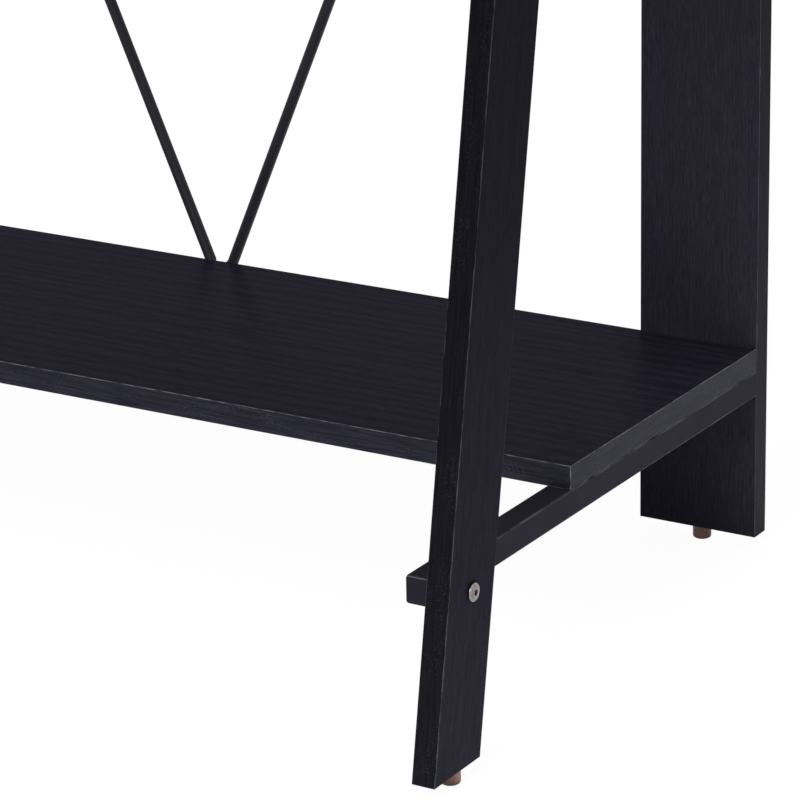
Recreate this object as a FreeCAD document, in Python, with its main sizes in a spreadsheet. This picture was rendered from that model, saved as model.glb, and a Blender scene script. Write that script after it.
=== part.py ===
import FreeCAD, Part
import os
import re
import Sketcher
from FreeCAD import Placement, Rotation, Vector

# Ladder desk: two leaning front legs and two rear uprights joined by square tube rails,
# with four boards resting on the rails and a V of thin rods behind the knee space.
# X runs to the right, Y to the back and Z up, in millimetres. The origin lies on the floor
# under the middle of the desk's box.

# Every driving size is a cell of the sheet.
SIZES = {
    # side frames
    "shelf_width": 980,
    "base_depth": 537,
    "side_rise": 35,
    "leg_width": 60,
    "leg_lean_angle": 10,
    "upright_width": 100,
    "board_thickness": 18,
    "band_thickness": 1,
    # boards, by the height of the top face and the depth from the uprights
    "lower_shelf_height": 165,
    "desktop_height": 750,
    "upper_shelf_height": 1085,
    "top_shelf_height": 1385,
    "lower_shelf_depth": 295,
    "desktop_depth": 480,
    "upper_shelf_depth": 260,
    "top_shelf_depth": 220,
    "board_clearance": 0.5,
    # square tube rails with their front caps and rear plugs
    "tube_size": 20,
    "tube_wall": 1.5,
    "tube_corner": 1,
    "rail_setback": 8,
    "cap_plate": 2,
    "cap_corner": 2.2,
    "cap_insert": 12,
    "cap_wall": 2,
    "plug_length": 25,
    "insert_clearance": 0.1,
    # bolts and rivet nuts
    "bolt_diameter": 6,
    "bolt_bite": 12,
    "leg_bolt_drop": 2.4,
    "bolt_neck_diameter": 9,
    "bolt_neck": 1.5,
    "bolt_head_diameter": 13.4,
    "bolt_head_height": 3.7,
    "bolt_rim": 1.3,
    "socket_width": 4,
    "socket_depth": 2.2,
    "thread_clearance": 0.1,
    "bolt_hole_clearance": 0.3,
    "nut_diameter": 9,
    "nut_length": 14,
    "nut_collar_diameter": 12,
    "nut_collar": 3,
    # screws that hold the boards down on the rails
    "screw_diameter": 4,
    "screw_bite": 12,
    "screw_head_diameter": 8,
    "screw_head_height": 2.6,
    "screw_clearance": 0.2,
    # V brace: the rods' ends are flattened into tabs
    "rod_diameter": 9,
    "brace_angle": 23.4,
    "brace_half_gap": 7.5,
    "tab_width": 10,
    "tab_thickness": 3,
    "tab_length": 6.4,
    "tab_overlap": 2,
    "brace_screw_bite": 22,
    # nail-in feet
    "foot_diameter": 14.5,
    "foot_height": 11,
    "foot_round": 2,
    "foot_setback": 36,
    "nail_diameter": 2.4,
    "nail_bite": 18,
    "nail_head_diameter": 7,
    "nail_head_height": 1.2,
    "nail_cover": 3,
    "cut_overrun": 5,
}
# Places of each rail's two screws, as shares of the stretch where board and rail meet, from its rear end.
SCREW_DEPTH_SHARES = (0.16, 0.7)
# An edge counts as running along a direction when its unit tangent has more than this share of it.
ALONG_SHARE = 0.7

LEVELS = ("lower_shelf", "desktop", "upper_shelf", "top_shelf")
SIDES = {"left": -1, "right": 1}

doc = FreeCAD.newDocument("ladder_desk")
sheet = doc.addObject("Spreadsheet::Sheet", "Sizes")
for row, (alias, number) in enumerate(SIZES.items(), start=1):
    sheet.set(f"A{row}", alias)
    sheet.set(f"B{row}", str(number))
    sheet.setAlias(f"B{row}", alias)
doc.recompute()

nodes = []

# Formulas that several pieces share. The words in them are cells of the sheet.
HALF = "(shelf_width / 2)"
TOE = "(-(base_depth + bolt_head_height) / 2)"
UPRIGHT_FRONT = f"({TOE} + base_depth - board_thickness)"
RISE = "(top_shelf_height + side_rise - foot_height)"
LEAN = "tan(leg_lean_angle)"
LEG_RUN = "(leg_width / cos(leg_lean_angle))"
BAND_RUN = "(band_thickness / cos(leg_lean_angle))"
RAIL_X = f"({HALF} - tube_size / 2)"
BOARD_WIDTH = "(shelf_width - 2 * board_clearance)"
TUBE_INSIDE = "(tube_size - 2 * tube_wall)"
INSERT_SIZE = f"({TUBE_INSIDE} - 2 * insert_clearance)"
BOLT_LENGTH = "(board_thickness + bolt_bite)"
BOLT_HOLE = "(bolt_diameter + 2 * bolt_hole_clearance)"
THREAD_HOLE = "(bolt_diameter + 2 * thread_clearance)"
SCREW_HOLE = "(screw_diameter + 2 * screw_clearance)"
BRACE_LENGTH = "((desktop_height - lower_shelf_height) / cos(brace_angle))"


def rail_height(level):
    """Height of the middle of the rails under a board."""
    return f"({level}_height - board_thickness - tube_size / 2)"


def bolt_height(level):
    """Height of the bolts through the legs, a little under the middle of the rails."""
    return f"({rail_height(level)} - leg_bolt_drop)"


def bolt_back(level):
    """How far behind the legs' toe the bolt of a rail passes through the leg."""
    return f"(({bolt_height(level)} - foot_height) * {LEAN} + {LEG_RUN} / 2)"


def tube_front(level):
    """Y of a rail's front end, where its cap begins."""
    lean_back = f"({rail_height(level)} - foot_height) * {LEAN}"
    return f"({TOE} + {lean_back} + rail_setback + cap_plate)"


def tube_length(level):
    return f"({UPRIGHT_FRONT} - {tube_front(level)})"


def screw_back(level, share):
    """How far in front of the uprights a screw holds a board on its rail."""
    return f"({share} * min({level}_depth; {tube_length(level)}))"


def formula(text):
    """The text with each size's name written as a cell of the sheet."""
    return re.sub(r"[a-z_]+", lambda word: f"Sizes.{word[0]}" if word[0] in SIZES else word[0], text)


def value(text):
    return float(sheet.evalExpression(formula(text)))


def bind(thing, **sizes):
    for name, text in sizes.items():
        thing.setExpression(name, formula(text))
    return thing


def place(thing, x, y, z, rotation=Rotation()):
    thing.Placement = Placement(Vector(), rotation)
    for axis, text in zip("xyz", (x, y, z)):
        thing.setExpression(f"Placement.Base.{axis}", formula(text))
    return thing


def facing(direction):
    """Rotation that turns a piece's own +Z to a direction."""
    return Rotation(Vector(0, 0, 1), Vector(*direction))


def mirrored(side, text):
    """A place to the right of the middle, or the same place to its left."""
    return f"({SIDES[side]} * {text})"


def keep(thing, label):
    """Makes a finished piece, or group of pieces, a sub-part of the desk."""
    thing.Label = label
    nodes.append(thing)
    return thing


def group(label, pieces):
    whole = doc.addObject("Part::Compound", f"{label}_group")
    whole.Links = pieces
    return keep(whole, label)


def copy_of(pattern, x, y, z, rotation=Rotation()):
    link = doc.addObject("App::Link", f"{pattern.Name}_copy")
    link.LinkedObject = pattern
    return place(link, x, y, z, rotation)


# Sketch helpers


def pin_point(sketch, geometry, end, x, y):
    """Holds a sketch point at two formulas from the sketch's origin."""
    for kind, text, axis in (("DistanceX", x, -2), ("DistanceY", y, -1)):
        if text == "0":
            sketch.addConstraint(Sketcher.Constraint("PointOnObject", geometry, end, axis))
        else:
            size = value(text)
            place_of_point = sketch.addConstraint(Sketcher.Constraint(kind, -1, 1, geometry, end, size))
            sketch.setExpression(f"Constraints[{place_of_point}]", formula(text))


def dome_arc(rim, crown):
    """Arc from a rim up to a crown on the sketch's vertical axis, with its middle on that axis."""
    rise = crown.y - rim.y
    radius = (rim.x ** 2 + rise ** 2) / (2 * rise)
    middle = Vector(0, crown.y - radius, 0)
    between = middle + (rim + crown - middle * 2).normalize() * radius
    return Part.Arc(rim, between, crown)


def draw_outline(sketch, points, domed=False):
    """A closed outline through points given as pairs of formulas.

    A domed outline ends on the vertical axis, and an arc leads to its last point.
    """
    corners = [Vector(value(x), value(y), 0) for x, y in points]
    arc = len(points) - 2 if domed else None
    for index, corner in enumerate(corners):
        following = corners[(index + 1) % len(corners)]
        if index == arc:
            sketch.addGeometry(dome_arc(corner, following))
        else:
            sketch.addGeometry(Part.LineSegment(corner, following))
    for index, (x, y) in enumerate(points):
        before = (index - 1) % len(points)
        sketch.addConstraint(Sketcher.Constraint("Coincident", before, 2, index, 1))
        pin_point(sketch, index, 1, x, y)
    if domed:
        sketch.addConstraint(Sketcher.Constraint("PointOnObject", arc, 3, -2))


def draw_square(sketch, size):
    """A square about the sketch's origin."""
    half = value(size) / 2
    corners = [Vector(-half, -half, 0), Vector(half, -half, 0), Vector(half, half, 0), Vector(-half, half, 0)]
    for index, corner in enumerate(corners):
        sketch.addGeometry(Part.LineSegment(corner, corners[(index + 1) % len(corners)]))
    for index, kind in enumerate(("Horizontal", "Vertical", "Horizontal", "Vertical")):
        sketch.addConstraint(Sketcher.Constraint("Coincident", index, 2, (index + 1) % len(corners), 1))
        sketch.addConstraint(Sketcher.Constraint(kind, index))
    sketch.addConstraint(Sketcher.Constraint("Symmetric", 0, 1, 2, 1, -1, 1))
    for kind, line in (("DistanceX", 0), ("DistanceY", 1)):
        side = sketch.addConstraint(Sketcher.Constraint(kind, line, 1, line, 2, 2 * half))
        sketch.setExpression(f"Constraints[{side}]", formula(size))


def draw_circle(sketch, x, y, diameter):
    middle = Vector(value(x), value(y), 0)
    circle = sketch.addGeometry(Part.Circle(middle, Vector(0, 0, 1), value(diameter) / 2))
    pin_point(sketch, circle, 3, x, y)
    width = sketch.addConstraint(Sketcher.Constraint("Diameter", circle, value(diameter)))
    sketch.setExpression(f"Constraints[{width}]", formula(diameter))


def new_body(name):
    return doc.addObject("PartDesign::Body", name)


def new_sketch(body, plane, offset="0"):
    """A sketch on one of the body's own planes, moved along the plane's normal by an offset."""
    sketch = body.newObject("Sketcher::SketchObject", f"{body.Name}_sketch")
    support = next(item for item in body.Origin.OriginFeatures if item.Role == plane)
    sketch.AttachmentSupport = [(support, "")]
    sketch.MapMode = "FlatFace"
    if offset != "0":
        sketch.setExpression("AttachmentOffset.Base.z", formula(offset))
    return sketch


def pad(body, sketch, length, backwards=False):
    solid = body.newObject("PartDesign::Pad", f"{body.Name}_pad")
    solid.Profile = sketch
    solid.Reversed = backwards
    bind(solid, Length=length)
    doc.recompute()
    return solid


def pocket(body, sketch, depth=None, backwards=False, both_ways=False):
    """Cuts a sketch into the body, right through it when no depth is given."""
    before = body.Shape.Volume
    cut = body.newObject("PartDesign::Pocket", f"{body.Name}_pocket")
    cut.Profile = sketch
    cut.Reversed = backwards
    if depth is None:
        cut.Type = "ThroughAll"
        cut.Midplane = both_ways
    else:
        bind(cut, Length=depth)
    doc.recompute()
    if body.Shape.Volume >= before:
        raise ValueError(f"{cut.Name} cuts nothing")
    return cut


def round_edges(body, feature, radius, wanted):
    """Rounds the edges of a feature that a test picks."""
    edges = [f"Edge{number}" for number, edge in enumerate(feature.Shape.Edges, start=1) if wanted(edge)]
    rounding = body.newObject("PartDesign::Fillet", f"{body.Name}_fillet")
    rounding.Base = (feature, edges)
    bind(rounding, Radius=radius)
    doc.recompute()


def runs_along(edge, direction):
    """Whether an edge's start lies nearer to a unit direction than across it."""
    return abs(edge.tangentAt(edge.FirstParameter).dot(Vector(*direction))) > ALONG_SHARE


def turned(name, points, domed=False):
    """A solid turned about Z from a half profile."""
    sketch = doc.addObject("Sketcher::SketchObject", f"{name}_profile")
    sketch.Placement = Placement(Vector(), Rotation(Vector(1, 0, 0), 90))
    draw_outline(sketch, points, domed)
    solid = doc.addObject("Part::Revolution", name)
    solid.Source = sketch
    solid.Axis = Vector(0, 0, 1)
    solid.Angle = 360
    solid.Solid = True
    return solid


def box(name, size, corner):
    block = doc.addObject("Part::Box", name)
    bind(block, Length=size[0], Width=size[1], Height=size[2])
    return place(block, *corner)


def cylinder(name, diameter, length, start, direction=(0, 0, 1)):
    bar = doc.addObject("Part::Cylinder", name)
    bind(bar, Radius=f"{diameter} / 2", Height=length)
    return place(bar, *start, facing(direction))


def fused(name, pieces):
    whole = doc.addObject("Part::MultiFuse", name)
    whole.Shapes = pieces
    return whole


def cut_from(name, base, tool):
    rest = doc.addObject("Part::Cut", name)
    rest.Base = base
    rest.Tool = tool
    return rest


# Side frames


def slanted_strip(name, side, near, far):
    """A strip of a leaning leg between two distances behind its front edge, as thick as the board."""
    body = new_body(name)
    sketch = new_sketch(body, "YZ_Plane")
    top = f"({RISE} * {LEAN})"
    outline = [(near, "0"), (far, "0"), (f"{far} + {top}", RISE), (f"{near} + {top}", RISE)]
    draw_outline(sketch, outline)
    pad(body, sketch, "board_thickness")
    left_edge = HALF if side == "right" else f"(-{HALF} - board_thickness)"
    return place(body, left_edge, TOE, "foot_height")


def front_leg(side):
    """Leaning board, drilled for one bolt at each rail and for the nail of its foot."""
    body = slanted_strip(f"leg_{side}", side, BAND_RUN, f"({LEG_RUN} - {BAND_RUN})")
    bolt_holes = new_sketch(body, "YZ_Plane")
    for level in LEVELS:
        draw_circle(bolt_holes, bolt_back(level), f"({bolt_height(level)} - foot_height)", BOLT_HOLE)
    pocket(body, bolt_holes, backwards=True)
    nail_hole = new_sketch(body, "XY_Plane")
    draw_circle(nail_hole, "board_thickness / 2", "foot_setback", "nail_diameter")
    pocket(body, nail_hole, "nail_bite", backwards=True)
    keep(body, f"front_leg_{side}")


def front_leg_bands(side):
    """Thin strips on the front and rear edges of a leg."""
    front = slanted_strip(f"leg_{side}_front_band", side, "0", BAND_RUN)
    rear = slanted_strip(f"leg_{side}_rear_band", side, f"({LEG_RUN} - {BAND_RUN})", LEG_RUN)
    group(f"front_leg_{side}_edge_bands", [front, rear])


def rear_upright(side):
    """Vertical board behind the rails' ends, drilled for one bolt at each rail."""
    core_width = "(upright_width - 2 * band_thickness)"
    inner = f"({HALF} - upright_width + band_thickness)" if side == "right" else f"(-{HALF} + band_thickness)"
    body = new_body(f"upright_{side}")
    board = new_sketch(body, "XZ_Plane")
    draw_outline(board, [("0", "0"), (core_width, "0"), (core_width, RISE), ("0", RISE)])
    pad(body, board, "board_thickness", backwards=True)
    bolt_x = "(tube_size / 2 - band_thickness)"
    if side == "right":
        bolt_x = f"({core_width} - {bolt_x})"
    bolt_holes = new_sketch(body, "XZ_Plane")
    for level in LEVELS:
        draw_circle(bolt_holes, bolt_x, f"({rail_height(level)} - foot_height)", BOLT_HOLE)
    pocket(body, bolt_holes)
    nail_hole = new_sketch(body, "XY_Plane")
    draw_circle(nail_hole, f"{core_width} / 2", "board_thickness / 2", "nail_diameter")
    pocket(body, nail_hole, "nail_bite", backwards=True)
    place(body, inner, UPRIGHT_FRONT, "foot_height")
    keep(body, f"rear_upright_{side}")


def rear_upright_bands(side):
    """Thin strips on the two long edges of an upright."""
    size = ("band_thickness", "board_thickness", RISE)
    outer = f"({HALF} - band_thickness)" if side == "right" else f"(-{HALF})"
    inner = f"({HALF} - upright_width)" if side == "right" else f"(-{HALF} + upright_width - band_thickness)"
    strips = [box(f"upright_{side}_band", size, (x, UPRIGHT_FRONT, "foot_height")) for x in (outer, inner)]
    group(f"rear_upright_{side}_edge_bands", strips)


# Rails


def side_rail(level, side):
    """Square tube from the upright to just behind the leg's front edge, under the board."""
    body = new_body(f"rail_{level}_{side}")
    outside = new_sketch(body, "XZ_Plane")
    draw_square(outside, "tube_size")
    bar = pad(body, outside, tube_length(level), backwards=True)
    round_edges(body, bar, "tube_corner", lambda edge: runs_along(edge, (0, 1, 0)))
    inside = new_sketch(body, "XZ_Plane")
    draw_square(inside, TUBE_INSIDE)
    pocket(body, inside)
    nut_hole = new_sketch(body, "YZ_Plane")
    nut_back = f"({TOE} + {bolt_back(level)} - {tube_front(level)})"
    draw_circle(nut_hole, nut_back, "(-leg_bolt_drop)", "nut_diameter")
    pocket(body, nut_hole, backwards=side == "right")
    screw_holes = new_sketch(body, "XY_Plane")
    for share in SCREW_DEPTH_SHARES:
        draw_circle(screw_holes, "0", f"({tube_length(level)} - {screw_back(level, share)})", SCREW_HOLE)
    pocket(body, screw_holes, both_ways=True)
    place(body, mirrored(side, RAIL_X), tube_front(level), rail_height(level))
    keep(body, f"side_rail_{level}_{side}")


def cap_pattern():
    """Plastic cap for a rail's front end: a plate as large as the tube on a hollow insert."""
    body = new_body("cap")
    insert = new_sketch(body, "XY_Plane")
    draw_square(insert, INSERT_SIZE)
    pad(body, insert, "cap_insert")
    face = new_sketch(body, "XY_Plane", "cap_insert")
    draw_square(face, "tube_size")
    plate = pad(body, face, "cap_plate")
    between = value(f"({INSERT_SIZE} + tube_size) / 4")

    def is_plate_corner(edge):
        return runs_along(edge, (0, 0, 1)) and abs(edge.CenterOfMass.x) > between

    round_edges(body, plate, "cap_corner", is_plate_corner)
    hollow = new_sketch(body, "XY_Plane")
    draw_square(hollow, f"({INSERT_SIZE} - 2 * cap_wall)")
    pocket(body, hollow, "cap_insert", backwards=True)
    return body


def plug_pattern():
    """Threaded block in a rail's rear end."""
    half = f"(-{INSERT_SIZE} / 2)"
    block = box("plug_block", (INSERT_SIZE, INSERT_SIZE, "plug_length"), (half, half, "0"))
    thread = cylinder("plug_thread", THREAD_HOLE, "plug_length + 2 * cut_overrun", ("0", "0", "-cut_overrun"))
    return cut_from("plug", block, thread)


def nut_pattern():
    """Rivet nut: a flush sleeve with the collar that its setting swells behind the tube's wall."""
    sleeve = cylinder("nut_sleeve", "nut_diameter", "nut_length", ("0", "0", "0"))
    collar_start = "nut_length - tube_wall - nut_collar"
    collar = cylinder("nut_collar_ring", "nut_collar_diameter", "nut_collar", ("0", "0", collar_start))
    thread = cylinder("nut_thread", THREAD_HOLE, "nut_length + 2 * cut_overrun", ("0", "0", "-cut_overrun"))
    return cut_from("rivet_nut", fused("nut_solid", [sleeve, collar]), thread)


# Fasteners, each along its own Z from tip to head


def bolt_pattern():
    """Furniture bolt with a low domed head on a short neck, and a hexagon socket."""
    radius = "bolt_diameter / 2"
    neck = "bolt_neck_diameter / 2"
    neck_top = f"({BOLT_LENGTH} + bolt_neck)"
    head = "bolt_head_diameter / 2"
    crown = f"({BOLT_LENGTH} + bolt_head_height)"
    profile = [("0", "0"), (radius, "0"), (radius, BOLT_LENGTH), (neck, BOLT_LENGTH), (neck, neck_top)]
    profile += [(head, neck_top), (head, f"({neck_top} + bolt_rim)"), ("0", crown)]
    solid = turned("bolt_solid", profile, domed=True)
    socket = doc.addObject("Part::Prism", "bolt_socket")
    socket.Polygon = 6
    bind(socket, Circumradius="socket_width / 2 / cos(30)", Height="socket_depth + cut_overrun")
    place(socket, "0", "0", f"{crown} - socket_depth")
    return cut_from("bolt", solid, socket)


def screw_pattern(name, length):
    """Wood screw with a flat round head and a pointed end as long as it is thick."""
    radius = "screw_diameter / 2"
    head = "screw_head_diameter / 2"
    profile = [("0", "0"), (radius, "screw_diameter"), (radius, length), (head, length)]
    profile += [(head, f"{length} + screw_head_height / 2"), ("0", f"{length} + screw_head_height")]
    return turned(name, profile, domed=True)


# Boards


def board(level, braced):
    """Board on a pair of rails, drilled from below for its screws, and at the rear for the brace."""
    core_width = f"({BOARD_WIDTH} - 2 * band_thickness)"
    core_depth = f"({level}_depth - band_thickness)"
    body = new_body(f"board_{level}")
    plan = new_sketch(body, "XY_Plane")
    draw_outline(plan, [("0", "0"), (core_width, "0"), (core_width, core_depth), ("0", core_depth)])
    pad(body, plan, "board_thickness")
    pilots = new_sketch(body, "XY_Plane")
    for share in SCREW_DEPTH_SHARES:
        for rail_x in (f"({core_width} / 2 - {RAIL_X})", f"({core_width} / 2 + {RAIL_X})"):
            draw_circle(pilots, rail_x, f"({core_depth} - {screw_back(level, share)})", "screw_diameter")
    pocket(body, pilots, "screw_bite", backwards=True)
    if braced:
        rear_pilots = new_sketch(body, "XZ_Plane", f"-{core_depth}")
        for side in SIDES:
            pilot_x = f"({core_width} / 2 + {mirrored(side, brace_x(level))})"
            draw_circle(rear_pilots, pilot_x, "board_thickness / 2", "screw_diameter")
        pocket(body, rear_pilots, "brace_screw_bite", backwards=True)
    floor = f"{level}_height - board_thickness"
    place(body, f"-{core_width} / 2", f"{UPRIGHT_FRONT} - {core_depth}", floor)
    keep(body, level)


def board_bands(level):
    """Thin strips on the front and side edges of a board."""
    front_y = f"{UPRIGHT_FRONT} - {level}_depth"
    floor = f"{level}_height - board_thickness"
    side_size = ("band_thickness", f"{level}_depth - band_thickness", "board_thickness")
    side_y = f"{front_y} + band_thickness"
    left = f"-{BOARD_WIDTH} / 2"
    front_size = (BOARD_WIDTH, "band_thickness", "board_thickness")
    strips = [
        box(f"{level}_front_band", front_size, (left, front_y, floor)),
        box(f"{level}_left_band", side_size, (left, side_y, floor)),
        box(f"{level}_right_band", side_size, (f"{BOARD_WIDTH} / 2 - band_thickness", side_y, floor)),
    ]
    group(f"{level}_edge_bands", strips)


# V brace


def brace_x(level):
    """Distance of a rod's screw from the middle, at the rear edge of a board."""
    climb = f"({level}_height - lower_shelf_height)"
    return f"(brace_half_gap + {climb} * tan(brace_angle))"


def brace_rod(side):
    """Round rod between the rear edges of two boards, with a flat screw tab at each end."""
    tab_size = ("tab_width", "tab_thickness", "tab_length")
    low_tab = box("tab_low", tab_size, ("-tab_width / 2", "0", "0"))
    high_tab = box("tab_high", tab_size, ("-tab_width / 2", "0", f"{BRACE_LENGTH} - tab_length"))
    ends = ("0", BRACE_LENGTH)
    rounds = [cylinder("tab_round", "tab_width", "tab_thickness", ("0", "0", z), (0, 1, 0)) for z in ends]
    bare = f"{BRACE_LENGTH} - 2 * (tab_length - tab_overlap)"
    bar = cylinder("rod_bar", "rod_diameter", bare, ("0", "rod_diameter / 2", "tab_length - tab_overlap"))
    drill = "tab_thickness + 2 * cut_overrun"
    drills = [cylinder("tab_drill", SCREW_HOLE, drill, ("0", "-cut_overrun", z), (0, 1, 0)) for z in ends]
    solid = fused(f"rod_{side}_solid", [low_tab, high_tab, bar, *rounds])
    rod = cut_from(f"rod_{side}", solid, fused(f"rod_{side}_drills", drills))
    screw_height = "lower_shelf_height - board_thickness / 2"
    lean = Rotation(Vector(0, SIDES[side], 0), value("brace_angle"))
    place(rod, mirrored(side, "brace_half_gap"), UPRIGHT_FRONT, screw_height, lean)
    rod.setExpression("Placement.Rotation.Angle", formula("brace_angle"))
    keep(rod, f"brace_rod_{side}")


# Feet


def nail_pattern():
    """Nail moulded into a foot, with its head near the foot's sole."""
    shank = "nail_diameter / 2"
    head = "nail_head_diameter / 2"
    top = "foot_height + nail_bite"
    head_top = "nail_cover + nail_head_height"
    profile = [("0", "nail_cover"), (head, "nail_cover"), (head, head_top), (shank, head_top)]
    profile += [(shank, f"{top} - nail_diameter"), ("0", top)]
    return turned("nail", profile)


def foot_pattern(nail):
    """Plastic foot with a rounded lower rim, moulded round its nail."""
    blank = new_body("foot_blank")
    sole = new_sketch(blank, "XY_Plane")
    draw_circle(sole, "0", "0", "foot_diameter")
    disc = pad(blank, sole, "foot_height")
    middle = value("foot_height") / 2
    round_edges(blank, disc, "foot_round", lambda edge: edge.isClosed() and edge.CenterOfMass.z < middle)
    return cut_from("foot", blank, nail)


def foot_places():
    """Plan positions of the feet: one under each leg and one under each upright."""
    for side in SIDES:
        yield mirrored(side, f"({HALF} + board_thickness / 2)"), f"{TOE} + foot_setback"
        yield mirrored(side, f"({HALF} - upright_width / 2)"), f"{UPRIGHT_FRONT} + board_thickness / 2"


# The desk

for side in SIDES:
    front_leg(side)
    front_leg_bands(side)
    rear_upright(side)
    rear_upright_bands(side)

for level in LEVELS:
    board(level, braced=level in ("lower_shelf", "desktop"))
    board_bands(level)
    for side in SIDES:
        side_rail(level, side)

cap = cap_pattern()
plug = plug_pattern()
nut = nut_pattern()
bolt = bolt_pattern()
board_screw = screw_pattern("board_screw", "(tube_size + screw_bite)")
brace_screw = screw_pattern("brace_screw", "(tab_thickness + brace_screw_bite)")
caps, plugs, nuts, leg_bolts, upright_bolts, board_screws = [], [], [], [], [], []
for level in LEVELS:
    middle = rail_height(level)
    for side, sign in SIDES.items():
        rail_x = mirrored(side, RAIL_X)
        outwards = facing((sign, 0, 0))
        bolt_y = f"{TOE} + {bolt_back(level)}"
        bolt_z = bolt_height(level)
        caps.append(copy_of(cap, rail_x, f"{tube_front(level)} + cap_insert", middle, facing((0, -1, 0))))
        plugs.append(copy_of(plug, rail_x, f"{UPRIGHT_FRONT} - plug_length", middle, facing((0, 1, 0))))
        nuts.append(copy_of(nut, mirrored(side, f"({HALF} - nut_length)"), bolt_y, bolt_z, outwards))
        leg_bolts.append(copy_of(bolt, mirrored(side, f"({HALF} - bolt_bite)"), bolt_y, bolt_z, outwards))
        bolt_tip = f"{UPRIGHT_FRONT} - bolt_bite"
        upright_bolts.append(copy_of(bolt, rail_x, bolt_tip, middle, facing((0, 1, 0))))
        for share in SCREW_DEPTH_SHARES:
            screw_y = f"{UPRIGHT_FRONT} - {screw_back(level, share)}"
            screw_tip = f"{level}_height - board_thickness + screw_bite"
            board_screws.append(copy_of(board_screw, rail_x, screw_y, screw_tip, facing((0, 0, -1))))
group("rail_front_caps", caps)
group("rail_rear_plugs", plugs)
group("rail_rivet_nuts", nuts)
group("leg_bolts", leg_bolts)
group("upright_bolts", upright_bolts)
group("board_screws", board_screws)

brace_screws = []
for side in SIDES:
    brace_rod(side)
    for level in ("lower_shelf", "desktop"):
        screw_z = f"{level}_height - board_thickness / 2"
        screw_tip = f"{UPRIGHT_FRONT} - brace_screw_bite"
        screw_x = mirrored(side, brace_x(level))
        brace_screws.append(copy_of(brace_screw, screw_x, screw_tip, screw_z, facing((0, 1, 0))))
group("brace_screws", brace_screws)

nail = nail_pattern()
foot = foot_pattern(nail)
group("feet", [copy_of(foot, x, y, "0") for x, y in foot_places()])
group("foot_nails", [copy_of(nail, x, y, "0") for x, y in foot_places()])

doc.recompute()
for thing in doc.Objects:
    if "Invalid" in thing.State or "Error" in thing.State:
        raise RuntimeError(f"{thing.Label} failed: {thing.State}")
for thing in nodes:
    if thing.Shape.isNull() or not thing.Shape.isValid():
        raise RuntimeError(f"{thing.Label} has no valid shape")

os.makedirs("parts", exist_ok=True)
for thing in nodes:
    thing.Shape.exportStep(f"parts/{thing.Label}.step")
    solids = thing.Shape.Solids
    print(f"{thing.Label}: {len(solids)} solids, {sum(solid.Volume for solid in solids):.0f} mm3")
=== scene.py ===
import math

import bmesh
import bpy
from mathutils import Matrix, Quaternion, Vector


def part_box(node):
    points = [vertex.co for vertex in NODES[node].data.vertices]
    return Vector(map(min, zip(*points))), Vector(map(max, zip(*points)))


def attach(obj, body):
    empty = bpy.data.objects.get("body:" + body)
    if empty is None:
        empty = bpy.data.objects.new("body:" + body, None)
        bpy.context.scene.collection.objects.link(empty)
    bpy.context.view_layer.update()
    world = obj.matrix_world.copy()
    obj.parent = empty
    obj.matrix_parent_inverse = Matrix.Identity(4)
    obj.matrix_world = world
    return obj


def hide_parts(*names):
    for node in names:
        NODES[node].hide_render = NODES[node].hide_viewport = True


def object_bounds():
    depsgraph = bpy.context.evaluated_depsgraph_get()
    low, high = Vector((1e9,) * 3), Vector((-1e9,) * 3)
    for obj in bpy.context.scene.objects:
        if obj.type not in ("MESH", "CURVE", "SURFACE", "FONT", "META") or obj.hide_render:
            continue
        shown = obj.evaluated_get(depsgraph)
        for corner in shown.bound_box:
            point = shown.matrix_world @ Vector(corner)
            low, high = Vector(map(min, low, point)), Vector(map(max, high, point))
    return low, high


# Ladder desk in black wood-grain laminate, with powder-coated rails and rods, nickel bolts
# and brown feet. Lengths are in metres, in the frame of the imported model: X to the right,
# Y to the back and Z up.

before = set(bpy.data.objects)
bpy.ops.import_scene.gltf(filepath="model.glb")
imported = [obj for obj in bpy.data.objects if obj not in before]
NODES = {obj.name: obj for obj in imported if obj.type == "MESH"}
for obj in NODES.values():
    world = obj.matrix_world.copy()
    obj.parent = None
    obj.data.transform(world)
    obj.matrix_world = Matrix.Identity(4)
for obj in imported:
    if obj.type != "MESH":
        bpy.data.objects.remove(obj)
cad_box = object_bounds()
BODY = "root"
LEVELS = ("lower_shelf", "desktop", "upper_shelf", "top_shelf")
SIDES = ("left", "right")
X_AXIS = Vector((1, 0, 0))
Y_AXIS = Vector((0, 1, 0))
Z_AXIS = Vector((0, 0, 1))
SAME_PLACE = 1e-5
SAME_POINT = 1e-6
WHITE = (1, 1, 1, 1)

# The camera stands in front of the desk, to its right, and looks down at its lower right corner.
CAMERA_PLACE = (1.751528, -2.352575, 1.126978)
CAMERA_YAW = math.radians(31.2754)
CAMERA_PITCH = math.radians(19.1195)
CAMERA_ROLL = math.radians(1.0768)
CAMERA_LENS = 179.57
CAMERA_SENSOR = 36.0

# Levels, sizes and places of the lights and the floor
WORLD_LIGHT = 0.5
KEY_LIGHT = 1.3
KEY_SPREAD = math.radians(35)
KEY_PLACE = (0, 0, 4)
KEY_DIRECTION = Vector((0.0, 0.75, -0.6))
FLOOR_GLOW = 1.95
FLOOR_GLOW_WIDTH = 0.5
FLOOR_GLOW_HEIGHT = 0.001
FLOOR_HALF_WIDTH = 30.0
FLOOR_BOUNCE = 0.3
FLOOR_LEVEL = 0.5
FLOOR_SHADOW_SHARE = 0.1

# Rounding of edges, steps of round forms, and angles up to which faces are shaded as one
BOARD_EASE = 0.0005
EASE_STEPS = 3
EASE_PROFILE = 0.5
TINY_EASE = 0.0002
ROUND_STEPS = 5
CORNER_STEPS = 6
RING_STEPS = 48
SMOOTH_ANGLE = math.radians(40)
ROD_SMOOTH_ANGLE = math.radians(50)

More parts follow.
